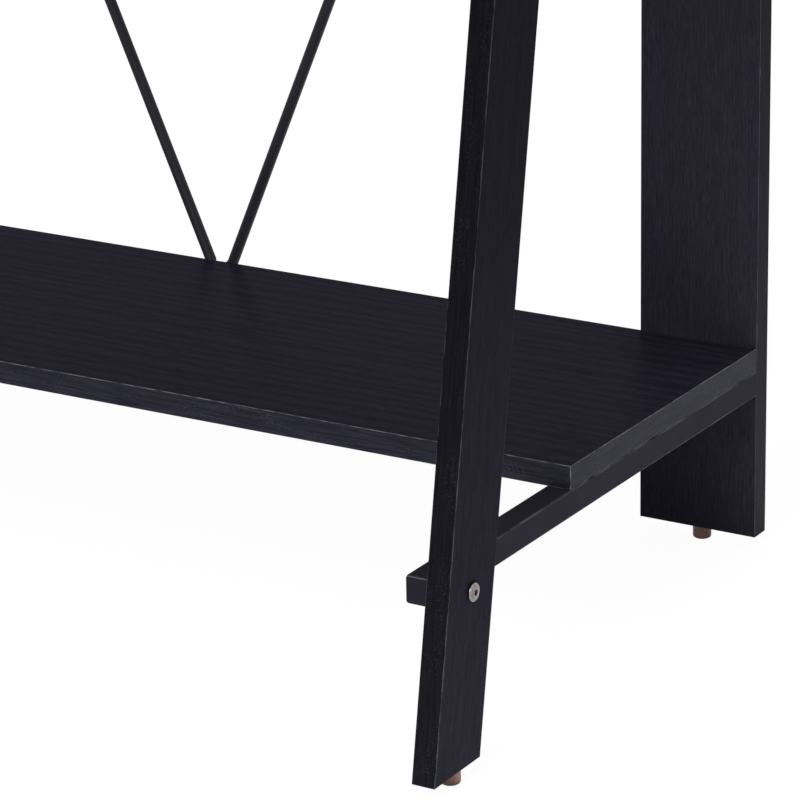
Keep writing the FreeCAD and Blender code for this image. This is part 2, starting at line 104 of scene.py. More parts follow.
# Edges of a board that can have a strip: name, axis, and 0 for the low or 1 for the high end
STRIP_SIDES = (("front", 1, 0), ("rear", 1, 1), ("left", 0, 0), ("right", 0, 1))

# How far a face's normal has to lie along a direction to count as facing that way
FACING = 0.5
SQUARELY_FACING = 0.9

# Sizes, shares and steps of caps, fasteners, feet and rods that their CAD boxes don't tell
CAP_EASE = 0.0009
CAP_CORNER = 0.0022
CAP_PLATE = 0.002
CAP_WALL = 0.002
CAP_INSERT_INSET = 0.0016
BOLT_SHANK = 0.003
BOLT_TIP = 0.0021
BOLT_CHAMFER = 0.0009
BOLT_NECK = 0.0045
BOLT_NECK_HEIGHT = 0.0015
BOLT_HEAD_HEIGHT = 0.0037
BOLT_RIM = 0.0013
BOLT_RIM_ROUND = 0.001
BOLT_DOME_SHARES = (0.96, 0.9, 0.82, 0.74, 0.66, 0.58, 0.5)
SOCKET_WIDTH = 0.004
SOCKET_DEPTH = 0.0022
SOCKET_MOUTH = 0.0026
SOCKET_STRIPS = 3
SCREW_SHANK = 0.002
SCREW_POINT_LENGTH = 0.004
SCREW_HEAD_HEIGHT = 0.0026
SCREW_RIM = 0.0013
SCREW_DOME_SHARES = (0.985, 0.95, 0.88, 0.78, 0.68, 0.62)
RECESS_ARM = 0.0023
RECESS_HALF = 0.0006
RECESS_DEPTH = 0.0014
RECESS_FLOOR_ARM_SHARE = 0.55
RECESS_FLOOR_HALF_SHARE = 0.8
FOOT_ROUND = 0.002
FOOT_TOP_EASE = 0.0004
ROD_RADIUS = 0.0045
ROD_END_STEPS = 6
ROD_TIP_STEP = 0.2
TAB_HALF_WIDTH = 0.005
TAB_THICKNESS = 0.003
TAB_FLAT = 0.0038
TAB_BLEND = 0.0090
ROUND_EXPONENT = 2
TAB_EXTRA_EXPONENT = 8

# Textures: how many features lie in a metre along a piece's own X, Y and Z. On a board X is the grain.
FIBRE_SCALE = (46, 820, 820)
PORE_SCALE = (150, 1500, 1500)
FIGURE_SCALE = (1.6, 22, 22)
CHIP_SCALE = (500, 500, 500)
STREAK_SCALE = (30, 600, 600)
FLECK_SCALE = (520, 760, 760)
CLUSTER_SCALE = (26, 90, 90)
BOARD_HIGHLIGHT_AND_WEAR_SCALE = (60, 60, 60)
BAND_HIGHLIGHT_AND_WEAR_SCALE = (90, 90, 90)
TUBE_HIGHLIGHT_AND_WEAR_SCALE = (120, 40, 120)
PEEL_SCALE = (900, 900, 900)
COAT_CLOUD_SCALE = (30, 30, 30)
MOULD_SCALE = (1300, 1300, 1300)
PLASTIC_CLOUD_SCALE = (120, 120, 120)
PLATING_SCALE = (420, 420, 420)
SCRATCH_SCALE = (2600, 300, 900)

# Shares of fibres and pores in what the figure leaves of the grain
FIBRE_SHARE = 0.568
PORE_SHARE = 0.432

# Ranges that a look is spread over, and places of a ramp's colours
UNIT = (0.0, 1.0)
UNIT_REVERSED = (1.0, 0.0)
MIDDLE_RANGE = (0.3, 0.7)
GRAIN_STOPS = (0.30, 0.50, 0.70)
CHIP_STOPS = (0.35, 0.65)
STREAK_STOPS = (0.32, 0.70)
BOARD_HIGHLIGHT_AND_WEAR = (0.30, 0.55)
TUBE_HIGHLIGHT_AND_WEAR = (0.34, 0.60)
TUBE_CORNER = (0.435, 0.460)
CLUSTER_RANGE = (0.42, 0.66)
FLECK_RANGE = (0.05, 0.34)
# CAP_EDGE is the range over which the cap's painted highlight fades in.
CAP_EDGE = (0.2, 0.4)
HALFWAY = 0.5

# Roughness, and the height of each relief
LAMINATE_ROUGHNESS = (0.26, 0.38)
BAND_ROUGHNESS = (0.32, 0.44)
COAT_ROUGHNESS = (0.30, 0.40)
CUT_ROUGHNESS = 0.85
PRINT_RELIEF = 0.00004
CHIP_RELIEF = 0.0002
PEEL_RELIEF = 0.00003
FINE_RELIEF = 0.00002

# Tones of the light lines on eased edges, partly real abrasion and partly painted highlight, and of sawn
# ends
LAMINATE_LINE = (0.11, 0.107, 0.125)
PALE_LINE = (0.175, 0.171, 0.192)
DIM_LINE = (0.062, 0.060, 0.070)
CUT_DARK = (0.006, 0.0055, 0.006)
CUT_LIGHT = (0.018, 0.016, 0.016)
CUT_SHINE = 0.1


# Node helpers


def add(tree, kind, inputs=None, **settings):
    """Adds a shader node, sets its options and sets or links its inputs."""
    node = tree.nodes.new(f"ShaderNode{kind}")
    for name, setting in settings.items():
        setattr(node, name, setting)
    for name, given in (inputs or {}).items():
        if isinstance(given, bpy.types.NodeSocket):
            tree.links.new(given, node.inputs[name])
        else:
            node.inputs[name].default_value = given
    return node


def new_material(name):
    """A material with its node tree and its surface shader."""
    material = bpy.data.materials.new(name)
    material.use_nodes = True
    tree = material.node_tree
    return material, tree, tree.nodes["Principled BSDF"]


def connect(tree, surface, **sources):
    """Links sockets to inputs of the surface shader, named with _ for a space."""
    for name, source in sources.items():
        tree.links.new(source, surface.inputs[name.replace("_", " ")])


def settle(surface, **numbers):
    """Sets inputs of the surface shader that are the same all over."""
    for name, number in numbers.items():
        surface.inputs[name.replace("_", " ")].default_value = number


def stretched(tree, scale):
    """The piece's own coordinates, scaled apart along its X, Y and Z."""
    place = add(tree, "TexCoord").outputs["Object"]
    return add(tree, "Mapping", {"Vector": place, "Scale": scale}).outputs["Vector"]


def noise(tree, scale, detail, roughness=0.5):
    """Noise between 0 and 1, in the piece's own coordinates."""
    inputs = {"Vector": stretched(tree, scale), "Scale": 1.0, "Detail": detail}
    inputs.update({"Roughness": roughness, "Distortion": 0.0})
    return add(tree, "TexNoise", inputs).outputs["Fac"]


def combine(tree, operation, first, second):
    """Result of a mathematical operation on two sockets or numbers."""
    return add(tree, "Math", {0: first, 1: second}, operation=operation).outputs[0]


def remap(tree, source, taken, given=UNIT):
    """Spreads a range of a source over another range, and clamps it there."""
    inputs = {"Value": source, "From Min": taken[0], "From Max": taken[1]}
    inputs.update({"To Min": given[0], "To Max": given[1]})
    return add(tree, "MapRange", inputs).outputs["Result"]


def ramp(tree, source, places, *colours):
    """Colours at places from 0 to 1, blended by a source."""
    node = add(tree, "ValToRGB", {"Fac": source})
    elements = node.color_ramp.elements
    for index, (place, colour) in enumerate(zip(places, colours)):
        element = elements[index] if index < len(elements) else elements.new(place)
        element.position = place
        element.color = (*colour, 1.0)
    return node.outputs["Color"]


def tinted(tree, share, colour, tint):
    """A colour with a share of a tint mixed in."""
    return add(tree, "Mix", {0: share, 6: colour, 7: (*tint, 1.0)}, data_type="RGBA").outputs[2]


def bump(tree, height, distance):
    """Normal of a fine relief."""
    return add(tree, "Bump", {"Height": height, "Distance": distance}).outputs["Normal"]


def arris_share(tree, highlight_and_wear_scale, highlight_and_wear):
    """Where an eased edge shows its light line, partly real abrasion and partly a painted highlight,
    broken along its length.
    """
    edge = add(tree, "Attribute", attribute_name="arris").outputs["Fac"]
    broken = remap(tree, noise(tree, highlight_and_wear_scale, detail=4.0), highlight_and_wear)
    return combine(tree, "MULTIPLY", edge, broken)


def flat_on_arris(tree, height):
    """A relief that dies out on the eased edges."""
    edge = add(tree, "Attribute", attribute_name="arris").outputs["Fac"]
    return combine(tree, "MULTIPLY", height, combine(tree, "SUBTRACT", 1.0, edge))


# Materials


def board_laminate(name, dark, middle, light, shine, figure_share):
    """Black wood-grain print: fine fibres along the board over faint drawn-out rings."""
    material, tree, surface = new_material(name)
    fibre = noise(tree, FIBRE_SCALE, detail=2.0, roughness=0.6)
    pore = noise(tree, PORE_SCALE, detail=1.0)
    figure = add(tree, "TexWave", {
        "Vector": stretched(tree, FIGURE_SCALE), "Scale": 1.0, "Distortion": 9.0,
        "Detail": 3.0, "Detail Scale": 1.2, "Detail Roughness": 0.55,
    }, bands_direction="Y").outputs["Fac"]
    fibres = combine(tree, "MULTIPLY", fibre, FIBRE_SHARE * (1.0 - figure_share))
    pores = combine(tree, "MULTIPLY", pore, PORE_SHARE * (1.0 - figure_share))
    rings = combine(tree, "MULTIPLY", figure, figure_share)
    grain = combine(tree, "ADD", combine(tree, "ADD", fibres, pores), rings)
    printed = ramp(tree, grain, GRAIN_STOPS, dark, middle, light)
    # Light line on the eased edges: partly real abrasion, partly a painted highlight.
    colour = tinted(tree, arris_share(tree, BOARD_HIGHLIGHT_AND_WEAR_SCALE, BOARD_HIGHLIGHT_AND_WEAR), printed, LAMINATE_LINE)
    roughness = remap(tree, grain, MIDDLE_RANGE, LAMINATE_ROUGHNESS)
    normal = bump(tree, flat_on_arris(tree, grain), PRINT_RELIEF)
    connect(tree, surface, Base_Color=colour, Roughness=roughness, Normal=normal)
    settle(surface, Specular_IOR_Level=shine)
    return material


def cut_edge(name):
    """Sawn ends of the boards, stained black."""
    material, tree, surface = new_material(name)
    chips = noise(tree, CHIP_SCALE, detail=4.0, roughness=0.65)
    colour = ramp(tree, chips, CHIP_STOPS, CUT_DARK, CUT_LIGHT)
    connect(tree, surface, Base_Color=colour, Normal=bump(tree, chips, CHIP_RELIEF))
    settle(surface, Roughness=CUT_ROUGHNESS, Specular_IOR_Level=CUT_SHINE)
    return material


def edge_band(name, dark, light, fleck, line, highlight_and_wear, shine):
    """Printed edge strip: streaks along its length, clusters of fine light flecks and a light arris that
    is partly real abrasion and partly a painted highlight.
    """
    material, tree, surface = new_material(name)
    streak = noise(tree, STREAK_SCALE, detail=3.0)
    base = ramp(tree, streak, STREAK_STOPS, dark, light)
    cell_inputs = {"Vector": stretched(tree, FLECK_SCALE), "Scale": 1.0}
    cells = add(tree, "TexVoronoi", cell_inputs).outputs["Distance"]
    cluster = remap(tree, noise(tree, CLUSTER_SCALE, detail=2.0), CLUSTER_RANGE)
    flecks = combine(tree, "MULTIPLY", remap(tree, cells, FLECK_RANGE, UNIT_REVERSED), cluster)
    flecked = tinted(tree, flecks, base, fleck)
    # Light line on the strip's eased edges: partly real abrasion, partly a painted highlight.
    colour = tinted(tree, arris_share(tree, BAND_HIGHLIGHT_AND_WEAR_SCALE, highlight_and_wear), flecked, line)
    roughness = remap(tree, streak, MIDDLE_RANGE, BAND_ROUGHNESS)
    normal = bump(tree, flat_on_arris(tree, streak), PRINT_RELIEF)
    connect(tree, surface, Base_Color=colour, Roughness=roughness, Normal=normal)
    settle(surface, Specular_IOR_Level=shine)
    return material


def tube_arris(tree):
    """Where a square tube along Y shows a lighter line on its four rounded corners: partly real
    abrasion, partly a painted highlight.
    """
    place = add(tree, "SeparateXYZ", {"Vector": add(tree, "TexCoord").outputs["Generated"]}).outputs
    nearness = []
    for axis in ("X", "Z"):
        from_middle = combine(tree, "SUBTRACT", place[axis], HALFWAY)
        distance = combine(tree, "ABSOLUTE", from_middle, 0.0)
        nearness.append(remap(tree, distance, TUBE_CORNER))
    corner = combine(tree, "MULTIPLY", *nearness)
    broken = remap(tree, noise(tree, TUBE_HIGHLIGHT_AND_WEAR_SCALE, detail=4.0), TUBE_HIGHLIGHT_AND_WEAR)
    return combine(tree, "MULTIPLY", corner, broken)


def powder_coat(name, dark, light, shine, corner_highlight_and_wear=None):
    """Black powder coat with its fine orange peel, and a lighter tone on a square tube's corners that is
    partly real abrasion and partly a painted highlight.
    """
    material, tree, surface = new_material(name)
    peel = noise(tree, PEEL_SCALE, detail=2.0)
    cloud = noise(tree, COAT_CLOUD_SCALE, detail=3.0)
    colour = ramp(tree, cloud, MIDDLE_RANGE, dark, light)
    if corner_highlight_and_wear:
        # Lighter tube corners: partly real abrasion, partly a painted highlight.
        colour = tinted(tree, tube_arris(tree), colour, corner_highlight_and_wear)
    roughness = remap(tree, peel, MIDDLE_RANGE, COAT_ROUGHNESS)
    normal = bump(tree, peel, PEEL_RELIEF)
    connect(tree, surface, Base_Color=colour, Roughness=roughness, Normal=normal)
    settle(surface, Specular_IOR_Level=shine)
    return material


def upper_front_edge(tree):
    """Where a rounded edge faces both up and to the front, where the painted highlight goes."""
    facing = add(tree, "SeparateXYZ", {"Vector": add(tree, "TexCoord").outputs["Normal"]}).outputs
    forwards = combine(tree, "MULTIPLY", facing["Y"], -1.0)
    return remap(tree, combine(tree, "MULTIPLY", forwards, facing["Z"]), CAP_EDGE)


def moulded_plastic(name, dark, light, rough_range, shine, painted_highlight_tone=None):
    """Moulded plastic with a fine spark-eroded texture, and a painted highlight on its upper front edge.
    """
    material, tree, surface = new_material(name)
    grain = noise(tree, MOULD_SCALE, detail=2.0)
    cloud = noise(tree, PLASTIC_CLOUD_SCALE, detail=3.0)
    colour = ramp(tree, cloud, MIDDLE_RANGE, dark, light)
    if painted_highlight_tone:
        # Painted highlight on the edge that faces up and to the front.
        colour = tinted(tree, upper_front_edge(tree), colour, painted_highlight_tone)
    roughness = remap(tree, grain, MIDDLE_RANGE, rough_range)
    normal = bump(tree, grain, FINE_RELIEF)
    connect(tree, surface, Base_Color=colour, Roughness=roughness, Normal=normal)
    settle(surface, Specular_IOR_Level=shine)
    return material


def plated_metal(name, dark, light, rough_range):
    """Plated steel, a little uneven in tone and polish."""
    material, tree, surface = new_material(name)
    cloud = noise(tree, PLATING_SCALE, detail=4.0)
    scratch = noise(tree, SCRATCH_SCALE, detail=2.0)
    colour = ramp(tree, cloud, MIDDLE_RANGE, dark, light)
    roughness = remap(tree, scratch, MIDDLE_RANGE, rough_range)
    normal = bump(tree, scratch, FINE_RELIEF)
    connect(tree, surface, Base_Color=colour, Roughness=roughness, Normal=normal)
    settle(surface, Metallic=1.0)
    return material


# Legs, uprights and shelves each have their own copy of the laminate and of the edge strip, with tones
# set lighter or darker to match how brightly each part is lit: painted light and shade.
MATERIALS = {
    "leg_laminate": board_laminate(
        "leg_laminate", dark=(0.0129, 0.0121, 0.0182), middle=(0.0187, 0.0177, 0.0259),
        light=(0.0255, 0.0242, 0.0343), shine=0.0010, figure_share=0.04),
    "upright_laminate": board_laminate(
        "upright_laminate", dark=(0.0152, 0.0141, 0.0215), middle=(0.0244, 0.0226, 0.0338),
        light=(0.0360, 0.0338, 0.0490), shine=0.0010, figure_share=0.03),
    "shelf_laminate": board_laminate(
        "shelf_laminate", dark=(0.0103, 0.0098, 0.0172), middle=(0.0193, 0.0183, 0.0312),
        light=(0.0308, 0.0295, 0.0483), shine=0.0012, figure_share=0.12),
    "cut_edge": cut_edge("cut_edge"),
    "shelf_band": edge_band(
        "shelf_band", dark=(0.0124, 0.0121, 0.0200), light=(0.0262, 0.0256, 0.0404),
        fleck=(0.075, 0.073, 0.092), line=PALE_LINE, highlight_and_wear=(0.36, 0.60), shine=0.038),
    "leg_band": edge_band(
        "leg_band", dark=(0.0056, 0.0053, 0.0080), light=(0.0102, 0.0097, 0.0144),
        fleck=(0.036, 0.034, 0.045), line=DIM_LINE, highlight_and_wear=(0.38, 0.60), shine=0.008),
    "upright_band": edge_band(
        "upright_band", dark=(0.0178, 0.0170, 0.0230), light=(0.0275, 0.0264, 0.0352),
        fleck=(0.050, 0.049, 0.058), line=DIM_LINE, highlight_and_wear=(0.56, 0.70), shine=0.004),
    "coated_steel": powder_coat(
        "coated_steel", dark=(0.0236, 0.0224, 0.0318), light=(0.0282, 0.0268, 0.0382),
        shine=0.0008, corner_highlight_and_wear=(0.090, 0.087, 0.102)),
    "rod_steel": powder_coat(
        "rod_steel", dark=(0.0280, 0.0268, 0.0356), light=(0.0330, 0.0318, 0.0418), shine=0.08),
    # The cap's upper front edge carries a painted highlight.
    "cap_plastic": moulded_plastic(
        "cap_plastic", dark=(0.0128, 0.0119, 0.0186), light=(0.0160, 0.0150, 0.0232),
        rough_range=(0.36, 0.48), shine=0.03, painted_highlight_tone=(0.120, 0.115, 0.135)),
    "nickel_bolt": plated_metal(
        "nickel_bolt", dark=(0.18, 0.158, 0.158), light=(0.30, 0.268, 0.266), rough_range=(0.16, 0.28)),
    # Rim: a lighter, smoother copy of the bolt's nickel, so that its highlight shows brighter; partly
    # painted highlight.
    "nickel_rim": plated_metal(
        "nickel_rim", dark=(0.25, 0.235, 0.228), light=(0.36, 0.34, 0.332), rough_range=(0.12, 0.20)),
    # Hex socket: a darker, browner, rougher copy of the nickel that paints the shade inside the recess.
    "socket_painted_shade": plated_metal(
        "socket_painted_shade", dark=(0.15, 0.092, 0.082), light=(0.25, 0.168, 0.150), rough_range=(0.5, 0.6)),
    "zinc_steel": plated_metal(
        "zinc_steel", dark=(0.50, 0.51, 0.53), light=(0.64, 0.65, 0.68), rough_range=(0.28, 0.42)),
    "black_screw": plated_metal(
        "black_screw", dark=(0.016, 0.016, 0.018), light=(0.03, 0.03, 0.034), rough_range=(0.38, 0.52)),
    "foot_plastic": moulded_plastic(
        "foot_plastic", dark=(0.142, 0.076, 0.062), light=(0.232, 0.128, 0.106),
        rough_range=(0.38, 0.50), shine=0.2),
}


# Piece helpers


def finish_piece(name, mesh, node, materials, turn=None, smooth_angle=None):
    """Turns a bmesh into a piece that stands for a CAD node and takes the node's place."""
    data = bpy.data.meshes.new(name)
    bmesh.ops.recalc_face_normals(mesh, faces=mesh.faces)
    mesh.to_mesh(data)
    mesh.free()
    for material in materials:
        data.materials.append(MATERIALS[material])
    if smooth_angle is not None:
        data.shade_smooth()
        data.set_sharp_from_angle(angle=smooth_angle)
    piece = bpy.data.objects.new(name, data)
    bpy.context.scene.collection.objects.link(piece)
    if turn is not None:
        data.transform(turn.inverted())
        piece.matrix_world = turn
    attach(piece, BODY)
    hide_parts(node)


def axes_turn(first, second, third):
    """Turns a piece's own X, Y and Z to three directions."""
    return Matrix((first, second, third)).transposed().to_4x4()


def grain_turn(along, through):
    """Turns a piece's own X to the grain's direction and its own Z through the board."""
    return axes_turn(along, through.cross(along), through)


def dress(node, material):
    """Gives a CAD node that keeps its own shape a better material."""
    NODES[node].data.materials.clear()
    NODES[node].data.materials.append(MATERIALS[material])


# Boards with their edge strips


def lean_of(node):
    """How far back a leaning node runs for each metre that it climbs."""
    low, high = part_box(node)
    places = [vertex.co for vertex in NODES[node].data.vertices]
    foot = min(place.y for place in places if place.z - low.z < SAME_PLACE)
    head = min(place.y for place in places if high.z - place.z < SAME_PLACE)
    return (head - foot) / (high.z - low.z)


def straight_box(node, slope):
    """A node's lowest and highest corner, once its lean is taken out."""
    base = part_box(node)[0].z
    places = [vertex.co for vertex in NODES[node].data.vertices]
    straight = [(place.x, place.y - slope * (place.z - base), place.z) for place in places]
    low, high = (Vector(map(pick, zip(*straight))) for pick in (min, max))
    return low, high


def on_outside(edge, outside):
    """Whether an edge runs where two sides of the whole board meet."""
    first, second = (vertex.co for vertex in edge.verts)
    sides = 0
    for axis in range(3):
        for limit in (outside[0][axis], outside[1][axis]):
            sides += all(abs(end[axis] - limit) < SAME_PLACE for end in (first, second))
    return sides >= 2


def eased_box(low, high, outside, slope):
    """A box whose edges are rounded where they are edges of the whole board, then leaned."""
    mesh = bmesh.new()
    bmesh.ops.create_cube(mesh, size=1.0)
    for vertex in mesh.verts:
        vertex.co = [low[axis] if vertex.co[axis] < 0 else high[axis] for axis in range(3)]
    arris = mesh.faces.layers.float.new("arris")
    edges = [edge for edge in mesh.edges if on_outside(edge, outside)]
    rounded = bmesh.ops.bevel(
        mesh, geom=edges, offset=BOARD_EASE, segments=EASE_STEPS, profile=EASE_PROFILE, affect="EDGES")
    for face in rounded["faces"]:
        face[arris] = 1.0
    for vertex in mesh.verts:
        vertex.co.y += slope * (vertex.co.z - outside[0].z)
    mesh.normal_update()
    return mesh


def strips_round(core, outside):
    """Name, box and direction of each strip between a board's core and its outside."""
    for name, axis, end in STRIP_SIDES:
        if abs(core[end][axis] - outside[end][axis]) > SAME_PLACE:
            low, high = (corner.copy() for corner in (outside if axis == 1 else core))
            low[axis], high[axis] = sorted((core[end][axis], outside[end][axis]))
            through = Vector((0, 0, 0))
            through[axis] = 1.0
            yield name, low, high, through


def board_pieces(node, along, through, slope, face_material, band_material):
    """A laminated core and the strips on its edges."""
    bands = f"{node}_edge_bands"
    core = straight_box(node, slope)
    banded = straight_box(bands, slope)
    outside = [Vector(map(pick, core[end], banded[end])) for end, pick in ((0, min), (1, max))]
    mesh = eased_box(*core, outside, slope)
    for face in mesh.faces:
        face.material_index = 0 if abs(face.normal.dot(through)) > FACING else 1
    turn = grain_turn(along, through)
    finish_piece(f"{node}_board", mesh, node, [face_material, "cut_edge"], turn)
    for name, low, high, strip_through in strips_round(core, outside):
        strip = eased_box(low, high, outside, slope)
        for face in strip.faces:
            face.material_index = 1 if abs(face.normal.dot(through)) > SQUARELY_FACING else 0
        run = along if abs(strip_through.dot(along)) < FACING else strip_through.cross(through)
        strip_through = (strip_through - run * strip_through.dot(run)).normalized()
        turn = grain_turn(run, strip_through)
        finish_piece(f"{bands}_{name}", strip, bands, [band_material, face_material], turn)


for level in LEVELS:
    board_pieces(level, X_AXIS, Z_AXIS, 0.0, "shelf_laminate", "shelf_band")
for side in SIDES:
    slope = lean_of(f"front_leg_{side}")
    leg_run = Vector((0, slope, 1)).normalized()
    board_pieces(f"front_leg_{side}", leg_run, X_AXIS, slope, "leg_laminate", "leg_band")
    board_pieces(f"rear_upright_{side}", Z_AXIS, Y_AXIS, 0.0, "upright_laminate", "upright_band")


# Turned and moulded pieces, each built from rings of points along its own Z


def ring(reach, height):
    """Points round an axis, as far out as a function of the angle says."""
    points = []
    for step in range(RING_STEPS):
        turn = math.tau * step / RING_STEPS
        points.append(Vector((reach(turn) * math.cos(turn), reach(turn) * math.sin(turn), height)))
    return points


def circle(radius, height):
    """Ring at one distance from the axis."""
    return ring(lambda turn: radius, height)


def hexagon(width, height):
    """Ring with six flats."""
    sector = math.pi / 3
    return ring(lambda turn: width / 2 / math.cos((turn + sector / 2) % sector - sector / 2), height)


def cross(arm, half, height):
    """Ring in the shape of a cross recess."""
    def reach(turn):
        """Distance from the axis to the side of the cross."""
        longer, shorter = sorted((abs(math.cos(turn)), abs(math.sin(turn))), reverse=True)
        return min(arm / longer, half / max(shorter, SAME_PLACE))
    return ring(reach, height)


def rounded_square(half, corner, height):
    """Ring round a square with rounded corners."""
    points = []
    out = (half - corner) * math.sqrt(2)
    for quarter in range(4):
        middle = math.pi / 4 + math.pi / 2 * quarter
        for step in range(CORNER_STEPS + 1):
            turn = math.pi / 2 * (quarter + step / CORNER_STEPS)
            x = out * math.cos(middle) + corner * math.cos(turn)
            y = out * math.sin(middle) + corner * math.sin(turn)
            points.append(Vector((x, y, height)))
    return points


def loft(mesh, rings, placement, skins=()):
    """Skin over a row of rings, closed at both ends. The last strips take their materials from skins."""
    rows = [[mesh.verts.new(placement @ point) for point in points] for points in rings]
    strips = list(zip(rows, rows[1:]))
    numbers = [0] * (len(strips) - len(skins)) + list(skins)
    for number, (first, second) in zip(numbers, strips):
        for index in range(len(first)):
            following = (index + 1) % len(first)
            corners = (first[index], first[following], second[following], second[index])
            mesh.faces.new(corners).material_index = number
    mesh.faces.new(rows[0][::-1])
    mesh.faces.new(rows[-1]).material_index = numbers[-1]


def quarter_round(radius):
    """Steps of a rounding, as distances from its two sides."""
    turns = [math.pi / 2 * step / ROUND_STEPS for step in range(ROUND_STEPS + 1)]
    return [(radius * (1 - math.cos(turn)), radius * (1 - math.sin(turn))) for turn in turns]


def islands(node):
    """Lowest and highest corner of each separate solid of a CAD node."""
    mesh = bmesh.new()
    mesh.from_mesh(NODES[node].data)
    bmesh.ops.remove_doubles(mesh, verts=mesh.verts, dist=SAME_POINT)
    waiting = set(mesh.verts)
    boxes = []
    while waiting:
        reached = [waiting.pop()]
        for vertex in reached:
            linked = {edge.other_vert(vertex) for edge in vertex.link_edges} & waiting
            waiting -= linked
            reached.extend(linked)
        places = [vertex.co for vertex in reached]
        boxes.append([Vector(map(pick, zip(*places))) for pick in (min, max)])
    mesh.free()
    return sorted(boxes, key=lambda box: tuple(box[0]))


def length_along(box, towards):
    """Length of a box in one direction."""
    return abs((box[1] - box[0]).dot(towards))


def half_sizes(box):
    """Half the sides of a box, from the shortest to the longest."""
    return [side / 2 for side in sorted(box[1] - box[0])]


def along_axis(box, towards):
    """Placement that stands a piece's own Z on one end of a box and turns it towards the other end."""
    start = (box[0] + box[1]) / 2 - towards * (length_along(box, towards) / 2)
    return Matrix.Translation(start) @ towards.to_track_quat("Z", "Y").to_matrix().to_4x4()


def dome(rim_radius, rim, crown, shares):
    """Circles over a low dome, from its rim to a share of its radius."""
    rise = crown - rim
    radius = (rim_radius ** 2 + rise ** 2) / (2 * rise)
    for share in shares:
        reach = rim_radius * share
        yield circle(reach, crown - radius + math.sqrt(radius ** 2 - reach ** 2))


def bolt_rings(box, towards):
    """Furniture bolt from its tip over its neck and rounded rim to the bottom of its socket."""
    length = length_along(box, towards)
    head = half_sizes(box)[0]
    seat = length - BOLT_HEAD_HEIGHT
    under = seat + BOLT_NECK_HEIGHT
    rim = under + BOLT_RIM
    floor = length - SOCKET_DEPTH
    rings = [circle(BOLT_TIP, 0), circle(BOLT_SHANK, BOLT_CHAMFER), circle(BOLT_SHANK, seat)]
    rings += [circle(BOLT_NECK, seat), circle(BOLT_NECK, under)]
    rings += [circle(head - TINY_EASE, under), circle(head, under + TINY_EASE)]
    rings += [circle(head - inset, rim - drop) for inset, drop in quarter_round(BOLT_RIM_ROUND)]
    rings += dome(head - BOLT_RIM_ROUND, rim, length, (*BOLT_DOME_SHARES, SOCKET_MOUTH / head))
    lip = rings[-1][0].z
    rings += [hexagon(SOCKET_WIDTH, lip - TINY_EASE), hexagon(SOCKET_WIDTH, floor)]
    rings.append(circle(TINY_EASE, floor - TINY_EASE))
    return rings


def screw_rings(box, towards):
    """Pointed screw from its tip to the bottom of its cross recess."""
    length = length_along(box, towards)
    head = half_sizes(box)[0]
    seat = length - SCREW_HEAD_HEIGHT
    rim = seat + SCREW_RIM
    rings = [circle(TINY_EASE, 0), circle(SCREW_SHANK, SCREW_POINT_LENGTH), circle(SCREW_SHANK, seat)]
    rings += [circle(head - TINY_EASE, seat), circle(head, seat + TINY_EASE)]
    rings.append(circle(head, rim - TINY_EASE))
    rings += dome(head, rim, length, SCREW_DOME_SHARES)
    lip = rings[-1][0].z
    floor_arm = RECESS_ARM * RECESS_FLOOR_ARM_SHARE
    floor_half = RECESS_HALF * RECESS_FLOOR_HALF_SHARE
    rings.append(cross(RECESS_ARM, RECESS_HALF, lip))
    rings.append(cross(floor_arm, floor_half, lip - RECESS_DEPTH))
    return rings


def cap_rings(box, towards):
    """Hollow cap from the floor of its hollow, out over its insert and plate to its eased front."""
    length = length_along(box, towards)
    half = half_sizes(box)[-1]
    back = length - CAP_PLATE
    insert = half - CAP_INSERT_INSET
    inner = insert - CAP_WALL
    rings = [rounded_square(inner, TINY_EASE, back), rounded_square(inner, TINY_EASE, 0)]
    rings += [rounded_square(insert, TINY_EASE, 0), rounded_square(insert, TINY_EASE, back)]
    rings.append(rounded_square(half, CAP_CORNER, back))
    for inset, drop in quarter_round(CAP_EASE):
        rings.append(rounded_square(half - inset, CAP_CORNER - inset, length - drop))
    return rings


def foot_rings(box, towards):
    """Foot from its sole over a rounded rim to its slightly eased top."""
    height = length_along(box, towards)
    radius = (box[1].x - box[0].x) / 2
    rings = [circle(radius - inset, drop) for inset, drop in reversed(quarter_round(FOOT_ROUND))]
    rings += [circle(radius, height - FOOT_TOP_EASE), circle(radius - FOOT_TOP_EASE, height)]
    return rings


def outwards(box):
    """Direction from the middle of the desk to the side that a box is on."""
    return X_AXIS if box[0].x > 0 else -X_AXIS


def shaped(node, materials, rings_of, towards, skins=()):
    """One piece with a detailed solid at the place of each of a node's solids."""
    mesh = bmesh.new()
    for box in islands(node):
        direction = towards(box) if callable(towards) else towards
        loft(mesh, rings_of(box, direction), along_axis(box, direction), skins)
    finish_piece(f"{node}_shaped", mesh, node, materials, smooth_angle=SMOOTH_ANGLE)


bolt_materials = ["nickel_bolt", "nickel_rim", "socket_painted_shade"]
# The strips inside the socket take the copy that paints its shade.
bolt_skins = [1] * (ROUND_STEPS + 1) + [0] * (len(BOLT_DOME_SHARES) + 1) + [2] * SOCKET_STRIPS
shaped("leg_bolts", bolt_materials, bolt_rings, outwards, bolt_skins)
shaped("upright_bolts", bolt_materials, bolt_rings, Y_AXIS, bolt_skins)
shaped("board_screws", ["black_screw"], screw_rings, -Z_AXIS)
shaped("brace_screws", ["black_screw"], screw_rings, Y_AXIS)
shaped("rail_front_caps", ["cap_plastic"], cap_rings, -Y_AXIS)
shaped("feet", ["foot_plastic"], foot_rings, Z_AXIS)


# V brace


